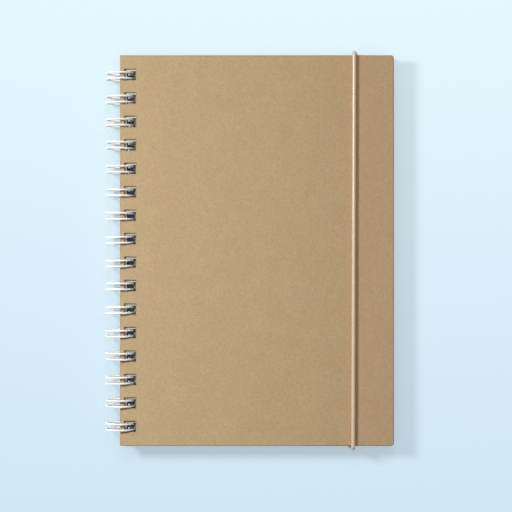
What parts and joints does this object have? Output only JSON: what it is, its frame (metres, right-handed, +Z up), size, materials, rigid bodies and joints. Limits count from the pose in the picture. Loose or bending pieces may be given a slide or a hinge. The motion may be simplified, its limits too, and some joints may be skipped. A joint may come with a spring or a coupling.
{
  "type": "spiral notebook",
  "caption": "A5 notebook with kraft board covers, a white twin-loop wire binding along the spine and a round elastic closure cord; both covers swing open.",
  "frame": {"origin": "middle of the closed notebook's footprint, at the height of the surface it lies on", "axes": "+X from the binding to the fore-edge, +Y along the spine towards the head, +Z up through the front cover"},
  "size_m": [0.1566, 0.2162, 0.0166],
  "materials": {
    "cover_board": "matte",
    "page_paper": "matte",
    "coated_wire": "satin",
    "elastic_braid": "matte",
    "barb_metal": "satin"
  },
  "bodies": {
    "bound_pages": {"page_block": "page_paper", "wire_binding": "coated_wire"},
    "front_cover": {"front_cover": "cover_board"},
    "back_cover": {"back_cover": "cover_board", "elastic_cord": "elastic_braid", "elastic_barb_bottom": "barb_metal", "elastic_barb_top": "barb_metal"}
  },
  "joints": [
    {"name": "front_cover_hinge", "type": "hinge", "parent": "bound_pages", "child": "front_cover", "pos_m": [-0.07003, 0, 0.0083], "axis": [0, -1, 0], "range_deg": [0, 180], "deforming": ["elastic_cord"]},
    {"name": "back_cover_hinge", "type": "hinge", "parent": "bound_pages", "child": "back_cover", "pos_m": [-0.07003, 0, 0.0083], "axis": [0, 1, 0], "range_deg": [0, 180], "deforming": ["elastic_cord"]}
  ]
}
